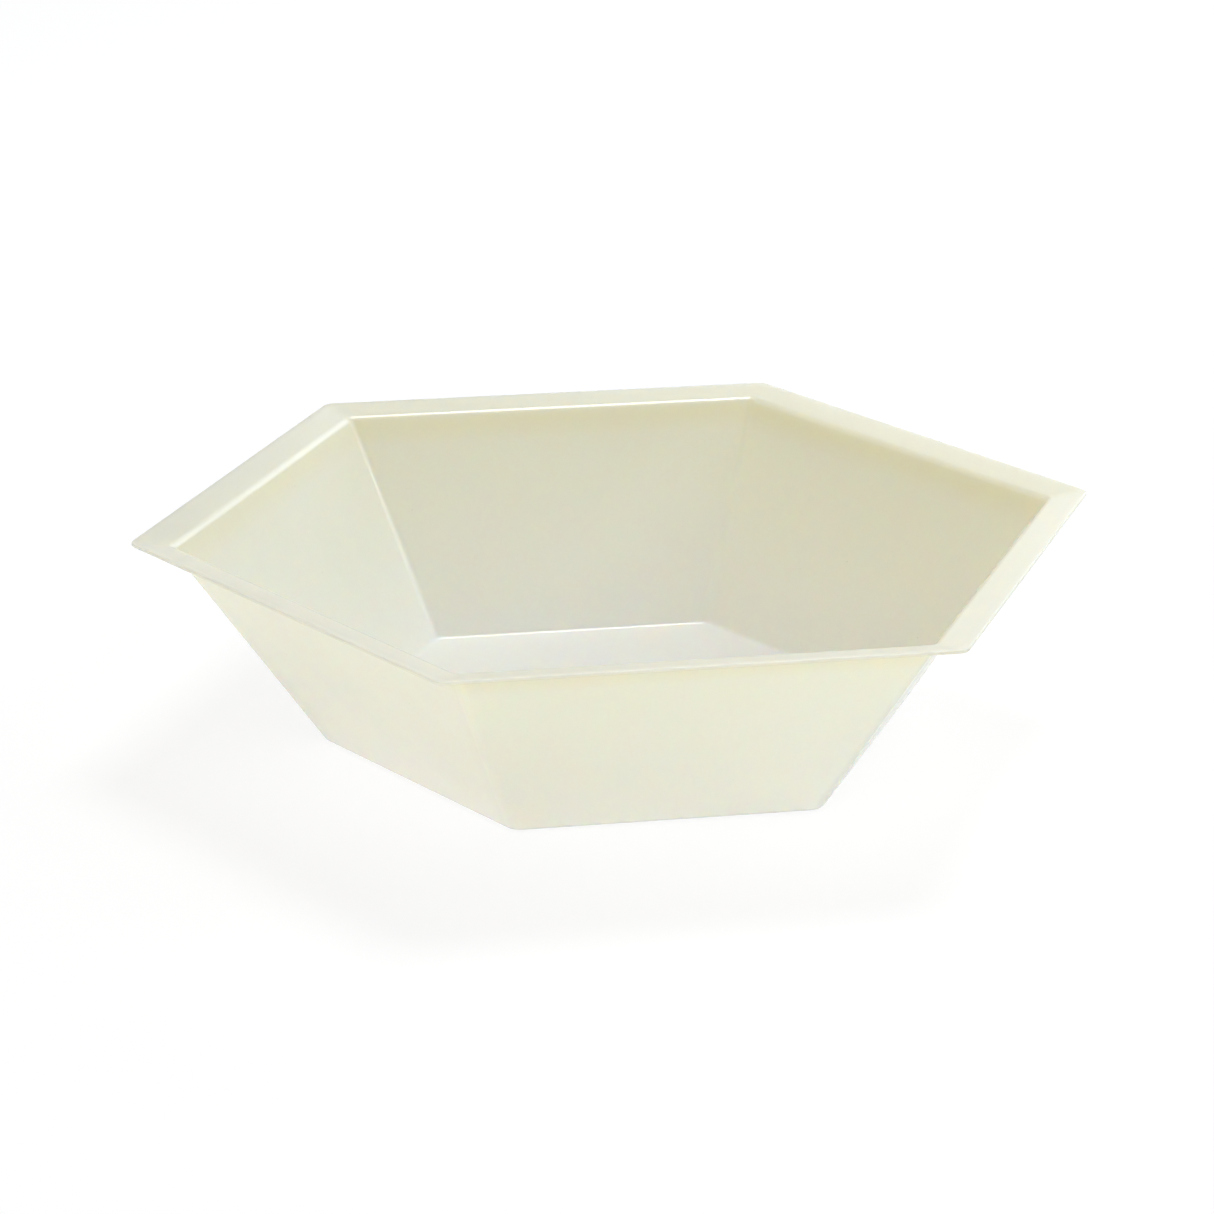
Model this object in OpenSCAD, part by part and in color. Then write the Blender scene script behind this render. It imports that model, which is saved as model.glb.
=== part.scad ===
// Hexagonal weighing boat: a shallow dish moulded in one piece from thin plastic.
// Six sloping walls rise from a flat floor to a flange that runs round the rim.
// The wall has the same thickness everywhere and turns through rounded bends.
//
// Millimetres. The origin is the middle of the underside, +Z is up, and two
// opposite corners of the hexagon lie on the X axis.

/* [Rim] */
// Distance between opposite corners of the rim, as if they were sharp
rim_across_corners = 124; // [112:1:140]
// Width of the flange, from its edge to the line where it meets the wall
flange_w = 4.6; // [3:0.1:8]
// How far the flange rises on its way from the wall to its edge
flange_rise = 0.8; // [0:0.1:1.6]
// Radius of the flange's corners, seen from above
rim_corner_r = 1.8; // [1:0.1:6]
// Rounding of the flange's edge, above and below
rim_edge_r = 0.15; // [0.05:0.01:0.2]

/* [Dish] */
// Height of the boat, from the underside to the top of the flange's edge
height = 28.2; // [18:0.1:40]
// Distance between opposite corners of the floor, as if they were sharp
floor_across_corners = 75.6; // [60:0.1:90]
// Inside radius of the corners between two walls, just below the flange
wall_corner_r = 1.2; // [0.4:0.1:3]
// Radius of the floor's corners, seen from above
floor_corner_r = 1.2; // [0.3:0.1:4]

/* [Sheet] */
// Thickness of the plastic
sheet_t = 0.45; // [0.3:0.05:1]
// Inside radius of the bend from wall to flange
rim_bend_r = 1.1; // [0.5:0.1:2.5]
// Inside radius of the bend from wall to floor
floor_bend_r = 0.9; // [0.4:0.1:2.5]

/* [Smoothness] */
// Flat steps round each corner of the hexagon
corner_steps = 10; // [4:1:12]
// Flat steps through each bend
bend_steps = 8; // [3:1:10]
// Flat steps round each half of the flange's edge
edge_steps = 3; // [2:1:4]

/* [Hidden] */

plastic_colour = [0.93, 0.92, 0.85];

// A regular hexagon: a corner every 60 degrees, the middle of a side 30 further on.
sides = 6;
half_side_angle = 180 / sides;

// The profile is drawn square to a side. Its first coordinate is the distance
// from the middle of the boat, its second is the height.
rim_d = rim_across_corners / 2 * cos(half_side_angle);
flange_angle = atan2(flange_rise, flange_w);

// The flange's edge turns about an upper and a lower point, with a flat between them.
edge_r = min(rim_edge_r, sheet_t / 3);
edge_d = rim_d - edge_r;
edge_top_z = height - edge_r;
edge_bottom_z = edge_top_z - (sheet_t - 2 * edge_r) / cos(flange_angle);

// The inner face of the wall runs from the foot, on the floor, to the top, where
// it meets the upper face of the flange. The bends round off both places.
wall_foot_d = floor_across_corners / 2 * cos(half_side_angle);
wall_foot_z = sheet_t;
wall_top_d = rim_d - flange_w;
wall_top_z = edge_top_z + edge_r / cos(flange_angle) - (edge_d - wall_top_d) * tan(flange_angle);
wall_angle = atan2(wall_top_z - wall_foot_z, wall_top_d - wall_foot_d);

// The rim bend turns about a point below the flange and outside the wall,
// the floor bend about a point above the floor and inside the wall.
rim_bend_outer_r = rim_bend_r + sheet_t;
rim_bend_reach = rim_bend_outer_r / cos((wall_angle - flange_angle) / 2);
rim_bend_centre = [wall_top_d, wall_top_z] - rim_bend_reach * upward((wall_angle + flange_angle) / 2);
floor_bend_reach = floor_bend_r / cos(wall_angle / 2);
floor_bend_centre = [wall_foot_d, wall_foot_z] + floor_bend_reach * upward(wall_angle / 2);

// Distances at which the corner arcs of the hexagon have their centres. The
// two faces of the sheet share them, so the sheet keeps its thickness there.
rim_corner_d = rim_d - rim_corner_r;
wall_corner_d = rim_bend_centre[0] - rim_bend_outer_r * sin(wall_angle) - wall_corner_r;
floor_corner_d = floor_bend_centre[0] - floor_corner_r;

// Direction square to a surface that slopes up and outwards at angle a
function upward(a) = [-sin(a), cos(a)];

// An arc of the profile: steps + 1 points about centre c as the slope turns from a0
// to a1. A negative radius puts them below the centre. Each point also carries cd,
// the distance of its corner centres.
function bend(c, r, a0, a1, steps, cd) =
    [for (i = [0:steps]) [each c + r * upward(a0 + (a1 - a0) * i / steps), cd]];

// The whole profile, from the floor up the inside, over the flange's edge and down
// the outside to the underside
profile = [
    each bend(floor_bend_centre, -floor_bend_r, 0, wall_angle, bend_steps, floor_corner_d),
    each bend(rim_bend_centre, rim_bend_outer_r, wall_angle, flange_angle, bend_steps, wall_corner_d),
    each bend([edge_d, edge_top_z], edge_r, flange_angle, -90, edge_steps, rim_corner_d),
    each bend([edge_d, edge_bottom_z], edge_r, -90, flange_angle - 180, edge_steps, rim_corner_d),
    each bend(rim_bend_centre, rim_bend_r, flange_angle, wall_angle, bend_steps, wall_corner_d),
    each bend(floor_bend_centre, -floor_bend_r - sheet_t, wall_angle, 0, bend_steps, floor_corner_d)
];

// A level ring of the boat through profile point p: a hexagon with rounded corners
function ring(p) = [
    for (k = [0:sides - 1], j = [0:corner_steps])
    let (
        corner = 360 / sides * k,
        a = corner + half_side_angle * (2 * j / corner_steps - 1),
        centre_r = p[2] / cos(half_side_angle),
        corner_r = p[0] - p[2]
    )
    [
        centre_r * cos(corner) + corner_r * cos(a),
        centre_r * sin(corner) + corner_r * sin(a),
        p[1]
    ]
];

// Joins the rings of a profile into a closed solid. The first and the last ring
// are filled in: they are the floor and the underside.
module swept_sheet(profile) {
    n = sides * (corner_steps + 1);
    last = len(profile) - 1;
    points = [for (p = profile) each ring(p)];
    bands = [
        for (i = [0:last - 1], j = [0:n - 1])
        let (k = (j + 1) % n)
        each [
            [i * n + j, i * n + k, (i + 1) * n + k],
            [i * n + j, (i + 1) * n + k, (i + 1) * n + j]
        ]
    ];
    floor_face = [for (j = [n - 1:-1:0]) j];
    underside = [for (j = [0:n - 1]) last * n + j];
    polyhedron(points, [floor_face, each bands, underside]);
}

module boat() {
    color(plastic_colour) swept_sheet(profile);
}

boat();
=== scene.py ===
"""Hexagonal weighing boat: a finely meshed shell in translucent ivory plastic, on a plain white floor.

Everything is in metres, in the frame of the CAD model: the origin is the middle of the
underside, +Z is up, and two opposite corners of the hexagon lie on the X axis.
"""

import math

import bpy
from mathutils import Matrix, Vector


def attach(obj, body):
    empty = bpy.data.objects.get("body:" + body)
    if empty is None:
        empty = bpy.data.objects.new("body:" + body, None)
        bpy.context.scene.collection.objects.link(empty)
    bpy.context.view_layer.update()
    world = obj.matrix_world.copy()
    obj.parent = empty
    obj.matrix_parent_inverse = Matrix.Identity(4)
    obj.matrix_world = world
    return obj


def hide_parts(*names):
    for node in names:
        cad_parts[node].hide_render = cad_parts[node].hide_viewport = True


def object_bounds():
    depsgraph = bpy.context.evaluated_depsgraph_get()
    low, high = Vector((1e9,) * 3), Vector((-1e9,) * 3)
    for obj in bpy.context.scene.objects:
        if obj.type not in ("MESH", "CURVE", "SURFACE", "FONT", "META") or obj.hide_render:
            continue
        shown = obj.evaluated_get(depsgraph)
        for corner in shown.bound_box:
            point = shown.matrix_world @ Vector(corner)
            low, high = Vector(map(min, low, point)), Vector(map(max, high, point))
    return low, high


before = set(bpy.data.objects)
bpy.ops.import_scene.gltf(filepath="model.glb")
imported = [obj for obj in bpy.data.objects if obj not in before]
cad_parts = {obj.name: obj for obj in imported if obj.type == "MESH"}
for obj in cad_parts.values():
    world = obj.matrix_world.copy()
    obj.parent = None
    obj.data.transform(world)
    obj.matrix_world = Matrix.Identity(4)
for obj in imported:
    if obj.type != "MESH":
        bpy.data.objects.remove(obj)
cad_low, cad_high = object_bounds()

MM = 0.001

# ---- Sizes of the boat -------------------------------------------------------------
# The floor's width across corners is measured as if the corners were sharp.
HEIGHT = cad_high.z - cad_low.z
RIM_SIDE_DISTANCE = cad_high.y
FLANGE_WIDTH = 4.6 * MM
FLANGE_RISE = 0.8 * MM
RIM_CORNER_RADIUS = 1.8 * MM
RIM_EDGE_RADIUS = 0.15 * MM
FLOOR_ACROSS_CORNERS = 75.6 * MM
WALL_CORNER_RADIUS = 1.2 * MM
FLOOR_CORNER_RADIUS = 1.2 * MM
SHEET = 0.45 * MM
RIM_BEND_RADIUS = 1.1 * MM
FLOOR_BEND_RADIUS = 0.9 * MM

SIDES = 6
SIDE_ANGLE = 2 * math.pi / SIDES
HALF_SIDE_ANGLE = math.pi / SIDES

# Steps of the mesh: the first two round each ring, the others along the profile
CORNER_STEPS = 12
SIDE_STEPS = 10
BEND_STEPS = 12
EDGE_STEPS = 5
WALL_STEPS = 12
FLANGE_STEPS = 4
FLOOR_STEPS = 8

# ---- Plastic -----------------------------------------------------------------------
# The ivory is palest at the foot, deeper at the top of the wall and deepest at the rim. This is painted
# shade: the darker, warmer colour up the wall and at the rim stands in for shade and for warm light that
# came through the sheet.
PLASTIC_LOW_PAINTED_LIGHT = (0.99, 0.988, 0.875)
PLASTIC_HIGH_PAINTED_SHADE = (0.981, 0.904, 0.755)
PLASTIC_RIM_PAINTED_SHADE = (0.945, 0.855, 0.61)
# How far light spreads inside the sheet: the scale at the same three places, and the
# share of it that red, green and blue light go
REACH_LOW = 1.0 * MM
REACH_HIGH = 1.8 * MM
REACH_RIM = 7.0 * MM
REACH_BY_COLOUR = (0.5, 0.4, 0.28)
# Shares of the height from which the rim's painted shade and its longer reach come in
RIM_PAINTED_SHADE_START = 0.84
RIM_REACH_START = 0.93

PLASTIC_IOR = 1.5
PLASTIC_SPECULAR = 0.5
ROUGHNESS_LOW = 0.2
ROUGHNESS_HIGH = 0.26

# Patterns: size and detail of the noise, and its values that count as none and as full
CLOUDS = (7 * MM, 3.0, 0.3, 0.7)
GRAIN = (0.45 * MM, 1.0, 0.25, 0.75)
SMEARS = (12 * MM, 4.0, 0.3, 0.7)
CLOUD_TINT = (0.992, 0.992, 0.988)
GRAIN_TINT = (0.99, 0.99, 0.985)

# Bumps: size and detail of the noise, and depth
RIPPLE = (9 * MM, 1.0, 0.06 * MM)
PEEL = (0.9 * MM, 2.0, 0.004 * MM)

# A fleck has its full strength inside the core and fades out at the radius.
FLECK_SPACING = 5 * MM
FLECK_CORE = 0.07 * MM
FLECK_RADIUS = 0.14 * MM
FLECK_STRENGTH = 0.35
FLECK_COLOUR = (0.62, 0.58, 0.48)

# ---- Floor and light ---------------------------------------------------------------
# The floor reaches this far from the middle and lies this far below the boat.
FLOOR_REACH = 0.55
FLOOR_GAP = 0.1 * MM
FLOOR_WHITE = 0.96
FLOOR_ROUGHNESS = 0.9
# Where it is seen directly, the floor glows and takes light and shadow as a dark grey.
FLOOR_GLOW = 0.86
FLOOR_SHADE = 0.2
BACKDROP_GLOW = 1.0

LAMP_DISTANCE = 0.9
NEUTRAL = (1.0, 1.0, 1.0)
COOL = (0.92, 0.96, 1.0)
BLUE = (0.78, 0.86, 1.0)
AMBER = (1.0, 0.4, 0.2)
# Soft boxes: name, azimuth and elevation in degrees, width and height, watts, and colour
LAMPS = (
    ("key", 148, 68, 0.3, 0.3, 4.25, NEUTRAL),
    ("side", 90, 40, 0.4, 0.4, 1.85, COOL),
    ("window", 140, 26, 0.48, 0.22, 0.95, BLUE),
    ("window_glow", 137, 22, 0.56, 0.36, 0.28, BLUE),
    ("window_edge", 163, 20, 0.2, 0.3, 0.11, BLUE),
    ("fill", -45, 15, 0.6, 0.6, 2.4, NEUTRAL),
    ("fill_warm", -45, 35, 0.6, 0.6, 0.2, AMBER),
    ("front", 0, 35, 0.6, 0.6, 0.6, COOL),
    ("low_left", -45, 0.5, 0.7, 0.04, 1.7, COOL),
    ("low_right", 60, 0.5, 0.7, 0.04, 1.85, COOL),
)

# ---- View --------------------------------------------------------------------------
# The photograph's camera. It aims at a point beside the boat's axis and below its rim.
PHOTO_PIXELS = 1214
FOCAL_PIXELS = 3950
SENSOR_IN_MM = 36.0
NEAREST_SEEN = 0.01
FARTHEST_SEEN = 20
VIEW_AZIMUTH = math.radians(-10.74)
VIEW_ELEVATION = math.radians(20.28)
VIEW_ROLL = math.radians(0.43)
VIEW_DISTANCE = 506.5 * MM
AIM_ASIDE = -1.42 * MM
AIM_BELOW_RIM = 12.35 * MM


# ---- Shape -------------------------------------------------------------------------
def upward(angle):
    """The direction square to a surface that slopes up and outwards at that angle."""
    return Vector((-math.sin(angle), math.cos(angle)))


def bend_centre(corner, radius, first_slope, second_slope):
    """The centre of a bend that rounds off a corner. A negative radius puts it under the sheet."""
    reach = radius / math.cos((first_slope - second_slope) / 2)
    return corner + reach * upward((first_slope + second_slope) / 2)


def bend(centre, radius, start, end, steps, corner_distance):
    """Profile points on an arc, each with the distance of its hexagon corner centres."""
    angles = [start + (end - start) * i / steps for i in range(steps + 1)]
    return [(*(centre + radius * upward(a)), corner_distance) for a in angles]


def between(first, last, steps):
    """The profile points inside a straight stretch, its two ends left out."""
    stretch = []
    for i in range(1, steps):
        t = i / steps
        stretch.append(tuple(a + (b - a) * t for a, b in zip(first, last)))
    return stretch


def boat_profile():
    """The boat's section square to a side, from the floor over the rim to the underside."""
    flange_angle = math.atan2(FLANGE_RISE, FLANGE_WIDTH)
    edge_distance = RIM_SIDE_DISTANCE - RIM_EDGE_RADIUS
    edge_top = Vector((edge_distance, HEIGHT - RIM_EDGE_RADIUS))
    edge_bottom = edge_top - Vector((0, (SHEET - 2 * RIM_EDGE_RADIUS) / math.cos(flange_angle)))

    # The inner face of the wall runs from its foot to its top, and the bends round off both.
    foot = Vector((FLOOR_ACROSS_CORNERS / 2 * math.cos(HALF_SIDE_ANGLE), SHEET))
    wall_top_distance = RIM_SIDE_DISTANCE - FLANGE_WIDTH
    flange_drop = (edge_distance - wall_top_distance) * math.tan(flange_angle)
    top = Vector((wall_top_distance, edge_top.y + RIM_EDGE_RADIUS / math.cos(flange_angle) - flange_drop))
    wall_angle = math.atan2(top.y - foot.y, top.x - foot.x)

    outer_rim_bend = RIM_BEND_RADIUS + SHEET
    rim_centre = bend_centre(top, -outer_rim_bend, wall_angle, flange_angle)
    floor_centre = bend_centre(foot, FLOOR_BEND_RADIUS, wall_angle, 0)

    # Both faces of the sheet share the corner centres, so it keeps its thickness there.
    rim_corner = RIM_SIDE_DISTANCE - RIM_CORNER_RADIUS
    wall_corner = rim_centre.x - outer_rim_bend * math.sin(wall_angle) - WALL_CORNER_RADIUS
    floor_corner = floor_centre.x - FLOOR_CORNER_RADIUS
    quarter = math.pi / 2

    floor_bend = bend(floor_centre, -FLOOR_BEND_RADIUS, 0, wall_angle, BEND_STEPS, floor_corner)
    rim_bend = bend(rim_centre, outer_rim_bend, wall_angle, flange_angle, BEND_STEPS, wall_corner)
    edge = bend(edge_top, RIM_EDGE_RADIUS, flange_angle, -quarter, EDGE_STEPS, rim_corner)
    edge += bend(edge_bottom, RIM_EDGE_RADIUS, -quarter, flange_angle - math.pi, EDGE_STEPS, rim_corner)
    under_rim = bend(rim_centre, RIM_BEND_RADIUS, flange_angle, wall_angle, BEND_STEPS, wall_corner)
    base_bend = bend(floor_centre, -FLOOR_BEND_RADIUS - SHEET, wall_angle, 0, BEND_STEPS, floor_corner)

    centre_inside = (0.0, SHEET, 0.0)
    centre_below = (0.0, 0.0, 0.0)
    parts = (
        (FLOOR_STEPS, floor_bend),
        (WALL_STEPS, rim_bend),
        (FLANGE_STEPS, edge),
        (FLANGE_STEPS, under_rim),
        (WALL_STEPS, base_bend),
        (FLOOR_STEPS, [centre_below]),
    )
    profile = [centre_inside]
    for steps_before, part in parts:
        profile += between(profile[-1], part[0], steps_before) + part
    return profile


def around(angle):
    """The level direction at that angle from the X axis."""
    return Vector((math.cos(angle), math.sin(angle), 0))


def corner_arc(side, centre_radius, corner_radius):
    """The points of a ring round one corner of the hexagon."""
    corner = SIDE_ANGLE * side
    centre = around(corner) * centre_radius
    angles = [corner + HALF_SIDE_ANGLE * (2 * j / CORNER_STEPS - 1) for j in range(CORNER_STEPS + 1)]
    return [centre + around(a) * corner_radius for a in angles]


def ring(point):
    """A level ring through a profile point: a hexagon with rounded corners and divided sides."""
    distance, height, corner_distance = point
    centre_radius = corner_distance / math.cos(HALF_SIDE_ANGLE)
    corners = [corner_arc(side, centre_radius, distance - corner_distance) for side in range(SIDES)]
    points = []
    for side in range(SIDES):
        start = corners[side][-1]
        end = corners[(side + 1) % SIDES][0]
        points += corners[side]
        points += [start.lerp(end, j / SIDE_STEPS) for j in range(1, SIDE_STEPS)]
    return [(p.x, p.y, height) for p in points]


def shell_faces(count, rings):
    """Faces of a closed shell: a first point, that many rings of count points, and a last point."""
    end = count * rings + 1
    last_ring = end - count
    faces = []
    for j in range(count):
        k = (j + 1) % count
        faces.append((0, 1 + j, 1 + k))
        faces.append((end, last_ring + k, last_ring + j))
    for i in range(rings - 1):
        a = 1 + i * count
        b = a + count
        for j in range(count):
            k = (j + 1) % count
            faces.append((a + j, b + j, b + k, a + k))
    return faces


def add_object(name, data):
    """A new object of the scene."""
    obj = bpy.data.objects.new(name, data)
    bpy.context.scene.collection.objects.link(obj)
    return obj


def swept_shell(name, profile):
    """A closed mesh object swept round the hexagon; both ends of the profile are on the axis."""
    first = profile[0]
    last = profile[-1]
    rings = [ring(p) for p in profile[1:-1]]
    verts = [(0, 0, first[1])] + [v for r in rings for v in r] + [(0, 0, last[1])]
    mesh = bpy.data.meshes.new(name)
    mesh.from_pydata(verts, [], shell_faces(len(rings[0]), len(rings)))
    mesh.polygons.foreach_set("use_smooth", [True] * len(mesh.polygons))
    mesh.update()
    return add_object(name, mesh)


# ---- Materials ---------------------------------------------------------------------
def add_node(tree, kind, inputs=None, **settings):
    """A new shader node with its settings and the values of its inputs."""
    node = tree.nodes.new(kind)
    for name, value in settings.items():
        setattr(node, name, value)
    for name, value in (inputs or {}).items():
        node.inputs[name].default_value = value
    return node


def grey(value):
    """A colour without tint."""
    return (value, value, value, 1)


def noise(tree, place, size, detail):
    """Soft random blobs about that size in metres, around 0.5."""
    node = add_node(tree, "ShaderNodeTexNoise", {"Scale": 1 / size, "Detail": detail})
    tree.links.new(place, node.inputs["Vector"])
    return node.outputs["Fac"]


def spread(tree, value, low, high, to_low=0.0, to_high=1.0):
    """The value's range from low to high, spread over another range and cut off outside it."""
    inputs = {"From Min": low, "From Max": high, "To Min": to_low, "To Max": to_high}
    node = add_node(tree, "ShaderNodeMapRange", inputs)
    tree.links.new(value, node.inputs["Value"])
    return node.outputs["Result"]


def pattern(tree, place, size, detail, none, full, to_low=0.0, to_high=1.0):
    """Noise with its values from none to full spread over another range."""
    return spread(tree, noise(tree, place, size, detail), none, full, to_low, to_high)


def blended(tree, amount, first, second):
    """A colour that goes from first, a colour or a socket, to second with the amount."""
    node = add_node(tree, "ShaderNodeMixRGB", {"Color2": (*second, 1)})
    tree.links.new(amount, node.inputs["Fac"])
    if isinstance(first, tuple):
        node.inputs["Color1"].default_value = (*first, 1)
    else:
        tree.links.new(first, node.inputs["Color1"])
    return node.outputs["Color"]


def tinted(tree, amount, colour, tint):
    """A colour multiplied by a tint, as far as the amount says."""
    node = add_node(tree, "ShaderNodeMixRGB", {"Color2": (*tint, 1)}, blend_type="MULTIPLY")
    tree.links.new(amount, node.inputs["Fac"])
    tree.links.new(colour, node.inputs["Color1"])
    return node.outputs["Color"]


def raised(tree, place, size, detail, depth, below=None):
    """A bump of noise whose full height is that depth, laid over another bump."""
    node = add_node(tree, "ShaderNodeBump", {"Strength": 1.0, "Distance": depth})
    tree.links.new(noise(tree, place, size, detail), node.inputs["Height"])
    if below is not None:
        tree.links.new(below, node.inputs["Normal"])
    return node.outputs["Normal"]


def flecks(tree, place):
    """A mask of tiny round flecks, far apart."""
    cells = add_node(tree, "ShaderNodeTexVoronoi", {"Scale": 1 / FLECK_SPACING})
    tree.links.new(place, cells.inputs["Vector"])
    core = FLECK_CORE / FLECK_SPACING
    radius = FLECK_RADIUS / FLECK_SPACING
    return spread(tree, cells.outputs["Distance"], core, radius, FLECK_STRENGTH, 0.0)


def ivory_with_painted_shade(tree, place, height):
    """Ivory with painted shade that deepens it towards the rim, with faint clouds, fine grain and a few
    flecks.
    """
    # Painted shade: the colour gets darker and warmer up the wall, and most at the rim.
    painted_shade_up_wall = spread(tree, height, 0.0, HEIGHT)
    rim_painted_shade = spread(tree, height, RIM_PAINTED_SHADE_START * HEIGHT, HEIGHT)
    colour = blended(tree, painted_shade_up_wall, PLASTIC_LOW_PAINTED_LIGHT, PLASTIC_HIGH_PAINTED_SHADE)
    colour = blended(tree, rim_painted_shade, colour, PLASTIC_RIM_PAINTED_SHADE)
    colour = tinted(tree, pattern(tree, place, *CLOUDS), colour, CLOUD_TINT)
    colour = tinted(tree, pattern(tree, place, *GRAIN), colour, GRAIN_TINT)
    return blended(tree, flecks(tree, place), colour, FLECK_COLOUR)


def light_reach(tree, height):
    """How far light spreads in the sheet: further up the wall, and furthest at the rim."""
    wall = spread(tree, height, 0.0, HEIGHT, REACH_LOW, REACH_HIGH)
    rim = spread(tree, height, RIM_REACH_START * HEIGHT, HEIGHT, 0.0, REACH_RIM - REACH_HIGH)
    total = add_node(tree, "ShaderNodeMath", operation="ADD")
    tree.links.new(wall, total.inputs[0])
    tree.links.new(rim, total.inputs[1])
    return total.outputs[0]


def ivory_plastic():
    """Thin moulded polystyrene: translucent ivory with painted shade towards the rim, a little cloudy,
    with an uneven satin skin.
    """
    mat = bpy.data.materials.new("ivory_plastic")
    mat.use_nodes = True
    tree = mat.node_tree
    shader = tree.nodes["Principled BSDF"]
    shader.inputs["IOR"].default_value = PLASTIC_IOR
    shader.inputs["Specular IOR Level"].default_value = PLASTIC_SPECULAR
    shader.inputs["Subsurface Weight"].default_value = 1.0
    shader.inputs["Subsurface Radius"].default_value = REACH_BY_COLOUR

    place = tree.nodes.new("ShaderNodeTexCoord").outputs["Object"]
    split = tree.nodes.new("ShaderNodeSeparateXYZ")
    tree.links.new(place, split.inputs["Vector"])
    height = split.outputs["Z"]

    # The base colour holds painted shade that deepens towards the rim.
    tree.links.new(ivory_with_painted_shade(tree, place, height), shader.inputs["Base Color"])
    tree.links.new(light_reach(tree, height), shader.inputs["Subsurface Scale"])
    smears = pattern(tree, place, *SMEARS, ROUGHNESS_LOW, ROUGHNESS_HIGH)
    tree.links.new(smears, shader.inputs["Roughness"])
    ripple = raised(tree, place, *RIPPLE)
    tree.links.new(raised(tree, place, *PEEL, ripple), shader.inputs["Normal"])
    return mat


def seen_directly(tree):
    """1 for what the camera sees, also in a reflection or through glass, and 0 for light."""
    path = tree.nodes.new("ShaderNodeLightPath")
    result = path.outputs["Is Camera Ray"]
    for kind in ("Is Glossy Ray", "Is Transmission Ray"):
        either = add_node(tree, "ShaderNodeMath", operation="MAXIMUM")
        tree.links.new(result, either.inputs[0])
        tree.links.new(path.outputs[kind], either.inputs[1])
        result = either.outputs[0]
    return result


def camera_switch(tree, seen, lighting):
    """One shader where the surface is seen directly, and another where it lights the rest."""
    mix = tree.nodes.new("ShaderNodeMixShader")
    tree.links.new(seen_directly(tree), mix.inputs["Fac"])
    tree.links.new(lighting.outputs[0], mix.inputs[1])
    tree.links.new(seen.outputs[0], mix.inputs[2])
    return mix.outputs[0]


def floor_material():
    """White floor. Where it is seen directly it is brighter and less shaded than as a light source."""
    mat = bpy.data.materials.new("white_floor")
    mat.use_nodes = True
    tree = mat.node_tree
    card = tree.nodes["Principled BSDF"]
    card.inputs["Base Color"].default_value = grey(FLOOR_WHITE)
    card.inputs["Roughness"].default_value = FLOOR_ROUGHNESS
    shade = add_node(tree, "ShaderNodeBsdfDiffuse", {"Color": grey(FLOOR_SHADE)})
    glow = add_node(tree, "ShaderNodeEmission", {"Strength": FLOOR_GLOW})
    seen = tree.nodes.new("ShaderNodeAddShader")
    tree.links.new(shade.outputs[0], seen.inputs[0])
    tree.links.new(glow.outputs[0], seen.inputs[1])
    tree.links.new(camera_switch(tree, seen, card), tree.nodes["Material Output"].inputs["Surface"])
    return mat


# ---- Stage -------------------------------------------------------------------------
def add_floor():
    """A square white floor under the boat."""
    far = FLOOR_REACH
    low = -FLOOR_GAP
    corners = [(-far, -far, low), (far, -far, low), (far, far, low), (-far, far, low)]
    mesh = bpy.data.meshes.new("floor")
    mesh.from_pydata(corners, [], [(0, 1, 2, 3)])
    mesh.materials.append(floor_material())
    add_object("floor", mesh)


def add_world():
    """White where it is seen directly. It gives no light of its own: that comes from the lamps."""
    world = bpy.data.worlds.new("studio")
    world.use_nodes = True
    tree = world.node_tree
    dark = tree.nodes["Background"]
    dark.inputs["Strength"].default_value = 0.0
    seen = add_node(tree, "ShaderNodeBackground", {"Color": grey(1), "Strength": BACKDROP_GLOW})
    tree.links.new(camera_switch(tree, seen, dark), tree.nodes["World Output"].inputs["Surface"])
    bpy.context.scene.world = world


def outward(azimuth, elevation):
    """The direction from the boat to what stands there. Azimuth 0 is straight in front."""
    level = math.cos(elevation)
    return Vector((math.sin(azimuth) * level, -math.cos(azimuth) * level, math.sin(elevation)))


def add_lamp(name, azimuth, elevation, width, height, power, colour):
    """A soft box that looks at the boat. An azimuth of 90 degrees is to the right."""
    data = bpy.data.lights.new(name, "AREA")
    data.shape = "RECTANGLE"
    data.size = width
    data.size_y = height
    data.energy = power
    data.color = colour
    away = outward(math.radians(azimuth), math.radians(elevation))
    obj = add_object(name, data)
    obj.location = Vector((0, 0, HEIGHT / 2)) + away * LAMP_DISTANCE
    obj.rotation_mode = "QUATERNION"
    obj.rotation_quaternion = away.to_track_quat("Z", "Y")
    obj.visible_camera = False


def add_camera():
    """The photograph's camera."""
    data = bpy.data.cameras.new("camera")
    data.sensor_width = SENSOR_IN_MM
    data.lens = SENSOR_IN_MM * FOCAL_PIXELS / PHOTO_PIXELS
    data.clip_start = NEAREST_SEEN
    data.clip_end = FARTHEST_SEEN
    aside = Vector((math.cos(VIEW_AZIMUTH), math.sin(VIEW_AZIMUTH), 0))
    aim = aside * AIM_ASIDE + Vector((0, 0, HEIGHT - AIM_BELOW_RIM))
    back = outward(VIEW_AZIMUTH, VIEW_ELEVATION)
    turn = back.to_track_quat("Z", "Y").to_matrix() @ Matrix.Rotation(VIEW_ROLL, 3, "Z")
    obj = add_object("camera", data)
    obj.matrix_world = Matrix.LocRotScale(aim + back * VIEW_DISTANCE, turn.to_quaternion(), None)
    bpy.context.scene.camera = obj


# ---- Scene -------------------------------------------------------------------------
boat = swept_shell("boat_shell", boat_profile())
boat.data.materials.append(ivory_plastic())
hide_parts("boat")
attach(boat, "root")

add_floor()
add_world()
for lamp in LAMPS:
    add_lamp(*lamp)
add_camera()

bpy.context.scene.view_settings.view_transform = "Standard"
